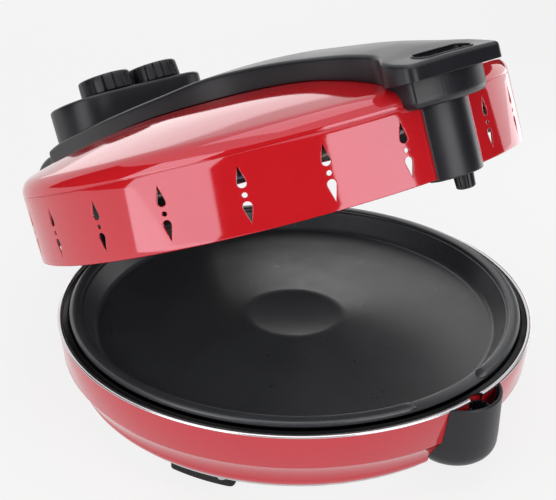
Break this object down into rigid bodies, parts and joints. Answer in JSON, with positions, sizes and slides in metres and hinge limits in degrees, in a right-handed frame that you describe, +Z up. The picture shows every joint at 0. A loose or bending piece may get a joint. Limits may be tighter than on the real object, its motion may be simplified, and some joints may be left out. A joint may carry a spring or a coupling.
{
  "type": "electric pizza maker",
  "caption": "Round countertop baker with a turning non-stick pan, a vented domed lid on a rear hinge, a long black handle and top-mounted controls.",
  "frame": {"origin": "centre of the round base, on the counter under the feet", "axes": "+X to the right, +Y to the hinge at the back, +Z up along the pan's turning axis"},
  "size_m": [0.343, 0.4327, 0.2754],
  "materials": {
    "bright_trim": "polished rolled metal",
    "red_enamel": "high gloss red enamel",
    "black_enamel": "satin black enamel",
    "nonstick": "dark non-stick coating, slightly speckled",
    "sheet_steel": "plain zinc-plated sheet and turned steel",
    "black_plastic": "satin black heat-resistant moulding",
    "gear_nylon": "unpainted engineering plastic",
    "ceramic": "white insulating block",
    "element_sheath": "heat-tinted tube",
    "foot_rubber": "black rubber"
  },
  "bodies": {
    "base": {"rim_trim": "bright_trim", "base_shell": "red_enamel", "base_liner": "black_enamel", "bottom_plate": "sheet_steel", "feet": "foot_rubber", "plate_screws": "sheet_steel", "drive_housing": "black_plastic", "hinge_bracket": "black_plastic", "hinge_pin": "sheet_steel", "cord_gland": "black_plastic", "terminal_block": "ceramic", "thermal_fuse": "sheet_steel", "lower_element": "element_sheath", "lower_element_clips": "sheet_steel", "spindle_bush": "gear_nylon", "thrust_bearing": "gear_nylon", "idler_post": "sheet_steel"},
    "idler": {"idler_gear": "gear_nylon"},
    "coupling": {"drive_coupling": "black_plastic"},
    "turntable": {"spindle": "sheet_steel", "main_gear": "gear_nylon"},
    "pan": {"pan_hub": "sheet_steel", "baking_pan": "nonstick"},
    "lid": {"lid_shell": "red_enamel", "lid_liner": "sheet_steel", "upper_element": "element_sheath", "upper_element_clips": "sheet_steel", "top_cover": "black_plastic", "cover_screws": "sheet_steel", "front_housing": "black_plastic", "drive_motor": "sheet_steel", "hinge_cover": "black_plastic", "control_pod": "black_plastic", "timer_mechanism": "sheet_steel", "heat_switch": "gear_nylon", "thermostat": "sheet_steel"},
    "spigot": {"drive_spigot": "black_plastic"},
    "timer": {"timer_knob": "black_plastic", "timer_shaft": "sheet_steel"},
    "heat": {"heat_knob": "black_plastic", "heat_shaft": "sheet_steel"}
  },
  "joints": [
    {"name": "lid_hinge", "type": "hinge", "parent": "base", "child": "lid", "pos_m": [0, 0.1933, 0.0615], "axis": [-1, 0, 0], "range_deg": [-22.9, 57.1]},
    {"name": "turntable_spin", "type": "hinge", "parent": "base", "child": "turntable", "pos_m": [0, 0, 0.04], "axis": [0, 0, 1], "continuous": true},
    {"name": "idler_spin", "type": "hinge", "parent": "base", "child": "idler", "pos_m": [0, -0.1144, 0.0275], "axis": [0, 0, 1], "continuous": true},
    {"name": "coupling_spin", "type": "hinge", "parent": "base", "child": "coupling", "pos_m": [0, -0.172, 0.0275], "axis": [0, 0, 1], "continuous": true},
    {"name": "spigot_spin", "type": "hinge", "parent": "lid", "child": "spigot", "pos_m": [0, -0.14379, 0.20227], "axis": [0, 0.3891, 0.9212], "continuous": true},
    {"name": "pan_lift", "type": "slide", "parent": "turntable", "child": "pan", "axis": [0, 0, 1], "range_m": [0, 0.008]},
    {"name": "timer_turn", "type": "hinge", "parent": "lid", "child": "timer", "pos_m": [-0.0225, 0.19518, 0.17208], "axis": [0, 0.4679, 0.8838], "range_deg": [-300, 0]},
    {"name": "heat_turn", "type": "hinge", "parent": "lid", "child": "heat", "pos_m": [0.0225, 0.19518, 0.17208], "axis": [0, 0.4679, 0.8838], "range_deg": [-270, 0]}
  ],
  "couplings": [
    {"joint": "idler_spin", "follows": "turntable_spin", "ratio": -1.2344},
    {"joint": "coupling_spin", "follows": "turntable_spin", "ratio": 9.875},
    {"joint": "spigot_spin", "follows": "turntable_spin", "ratio": 9.875}
  ]
}
